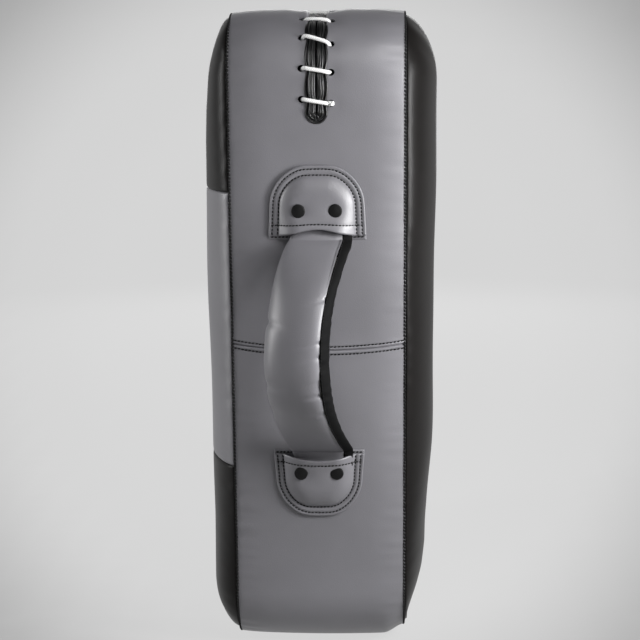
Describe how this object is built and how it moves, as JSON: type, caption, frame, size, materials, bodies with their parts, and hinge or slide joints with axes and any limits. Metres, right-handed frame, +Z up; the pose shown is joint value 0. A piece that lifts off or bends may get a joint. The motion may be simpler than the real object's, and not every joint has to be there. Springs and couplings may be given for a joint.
{
  "type": "kick pad",
  "caption": "Large rectangular padded kick pad with sewn leather cover, laced closure over its top end and a padded swinging handle riveted to each side.",
  "frame": {"origin": "middle of the footprint, on the surface the pad stands on", "axes": "+Z up along the pad's length, -Y out of the striking face, +Y out of the back, handles at +X and -X"},
  "size_m": [0.531, 0.2126, 0.6074],
  "materials": {
    "grey_leather": "satin",
    "black_leather": "satin",
    "black_fabric": "matte",
    "webbing": "matte",
    "white_cord": "matte",
    "dense_foam": "matte",
    "soft_foam": "matte",
    "black_metal": "satin",
    "steel": "satin"
  },
  "bodies": {
    "root": {"front_upper_panel": "black_leather", "front_lower_panel": "black_leather", "back_panel": "black_leather", "closure_binding": "black_leather", "closure_front_lip": "black_leather", "closure_back_lip": "black_leather", "front_middle_panel": "grey_leather", "upper_gusset": "grey_leather", "lower_gusset": "grey_leather", "strike_foam": "soft_foam", "back_foam": "soft_foam", "core_foam": "dense_foam", "closure_tongue": "black_fabric", "closure_lace": "white_cord", "lace_knot_left": "white_cord", "lace_knot_right": "white_cord", "right_upper_anchor_base": "grey_leather", "right_upper_anchor_cover": "grey_leather", "right_upper_neck": "grey_leather", "right_upper_strap_tab": "webbing", "right_upper_backing_plate": "webbing", "right_upper_front_rivet": "black_metal", "right_upper_front_washer": "steel", "right_upper_back_rivet": "black_metal", "right_upper_back_washer": "steel", "right_lower_anchor_base": "grey_leather", "right_lower_anchor_cover": "grey_leather", "right_lower_neck": "grey_leather", "right_lower_strap_tab": "webbing", "right_lower_backing_plate": "webbing", "right_lower_front_rivet": "black_metal", "right_lower_front_washer": "steel", "right_lower_back_rivet": "black_metal", "right_lower_back_washer": "steel", "left_upper_anchor_base": "grey_leather", "left_upper_anchor_cover": "grey_leather", "left_upper_neck": "grey_leather", "left_upper_strap_tab": "webbing", "left_upper_backing_plate": "webbing", "left_upper_front_rivet": "black_metal", "left_upper_front_washer": "steel", "left_upper_back_rivet": "black_metal", "left_upper_back_washer": "steel", "left_lower_anchor_base": "grey_leather", "left_lower_anchor_cover": "grey_leather", "left_lower_neck": "grey_leather", "left_lower_strap_tab": "webbing", "left_lower_backing_plate": "webbing", "left_lower_front_rivet": "black_metal", "left_lower_front_washer": "steel", "left_lower_back_rivet": "black_metal", "left_lower_back_washer": "steel"},
    "right_handle": {"right_grip_cover": "grey_leather", "right_grip_underside": "black_leather", "right_grip_foam": "soft_foam", "right_grip_strap": "webbing"},
    "left_handle": {"left_grip_cover": "grey_leather", "left_grip_underside": "black_leather", "left_grip_foam": "soft_foam", "left_grip_strap": "webbing"}
  },
  "joints": [
    {"name": "right_handle_swing", "type": "hinge", "parent": "root", "child": "right_handle", "pos_m": [0.202, 0, 0.3], "axis": [0, 0, 1], "range_deg": [-15, 50], "deforming": ["right_upper_neck", "right_lower_neck"]},
    {"name": "left_handle_swing", "type": "hinge", "parent": "root", "child": "left_handle", "pos_m": [-0.202, 0, 0.3], "axis": [0, 0, -1], "range_deg": [-15, 50], "deforming": ["left_upper_neck", "left_lower_neck"]}
  ]
}
